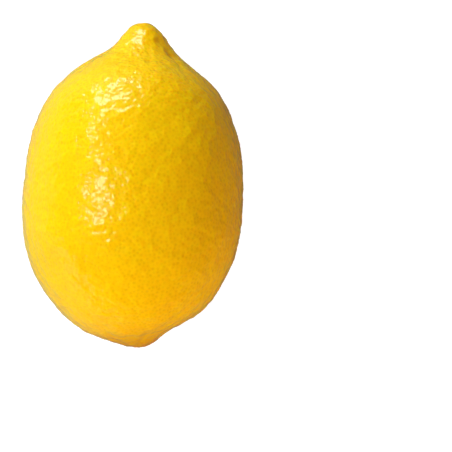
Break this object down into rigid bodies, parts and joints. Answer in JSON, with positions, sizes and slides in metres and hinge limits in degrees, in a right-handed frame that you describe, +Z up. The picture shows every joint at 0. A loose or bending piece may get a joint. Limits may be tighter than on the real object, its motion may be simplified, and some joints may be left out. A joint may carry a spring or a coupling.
{
  "type": "lemon",
  "caption": "Whole ripe lemon lying on its side: oval body, blunt nipple at the blossom end, low collar with a dry calyx button at the stem end.",
  "frame": {"origin": "middle of the fruit's box in plan, at the height of the surface that it lies on", "axes": "+Y from the stem end to the nipple along the fruit's length, +X to the side that the nipple leans to, +Z up from the flat spot"},
  "size_m": [0.0582, 0.086, 0.0556],
  "materials": {
    "peel": "waxy lemon peel with fine oil-gland pits and a soft sheen",
    "dry_calyx": "dry, dull, brown-green calyx"
  },
  "bodies": {
    "root": {"lemon": "peel", "stem_button": "dry_calyx"}
  },
  "joints": []
}
